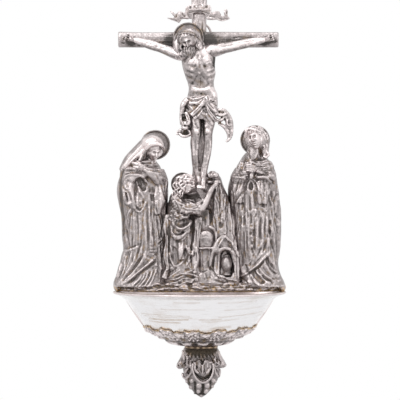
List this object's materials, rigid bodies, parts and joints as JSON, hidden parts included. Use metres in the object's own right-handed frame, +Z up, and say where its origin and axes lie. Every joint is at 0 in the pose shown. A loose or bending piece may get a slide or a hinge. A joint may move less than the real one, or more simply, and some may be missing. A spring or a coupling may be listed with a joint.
{
  "type": "holy water stoup",
  "caption": "Wall-hung silver holy water stoup: half-round bowl with leafy finial, Calvary figures on its rim and a hanging ring behind the cross.",
  "frame": {"origin": "on the wall plane, in the middle of the bowl's rim", "axes": "+Z up, +Y into the wall, +X to the viewer's right"},
  "size_m": [0.14, 0.072, 0.326],
  "materials": {
    "polished_silver": "polished silver with fine turning lines",
    "cast_silver": "cast and chased silver with dark patina in its recesses",
    "plain_silver": "plain dull silver",
    "gilt_silver": "worn gilding"
  },
  "bodies": {
    "stoup": {"bowl": "polished_silver", "rim_wire": "polished_silver", "back_plate": "plain_silver", "calyx": "cast_silver", "finial_collar": "gilt_silver", "finial_leaf_skirt": "cast_silver", "finial_bud": "cast_silver", "finial_tongues": "cast_silver", "finial_stud": "plain_silver", "finial_washer": "plain_silver", "finial_nut": "plain_silver", "ground_ledge": "cast_silver", "cross_upright": "cast_silver", "cross_beam": "cast_silver", "cross_spacers": "plain_silver", "casting_screws": "plain_silver", "cross_screws": "plain_silver", "figure_mary": "cast_silver", "figure_john": "cast_silver", "figure_magdalene": "cast_silver", "rock_mound": "cast_silver", "skull": "cast_silver", "ointment_jar": "cast_silver", "corpus_body": "cast_silver", "corpus_arm_left": "cast_silver", "corpus_arm_right": "cast_silver", "loincloth": "cast_silver", "hand_nails": "cast_silver", "foot_nail": "cast_silver", "halo_mary": "cast_silver", "halo_john": "cast_silver", "halo_magdalene": "cast_silver", "halo_corpus": "cast_silver", "titulus_scroll": "cast_silver", "titulus_pin": "cast_silver", "ring_lug": "plain_silver", "ring_lug_rivets": "plain_silver"},
    "ring": {"hanging_ring": "plain_silver"}
  },
  "joints": [
    {"name": "ring_swing", "type": "hinge", "parent": "stoup", "child": "ring", "pos_m": [0, -0.0062, 0.1992], "axis": [-1, 0, 0], "range_deg": [0, 180]}
  ]
}
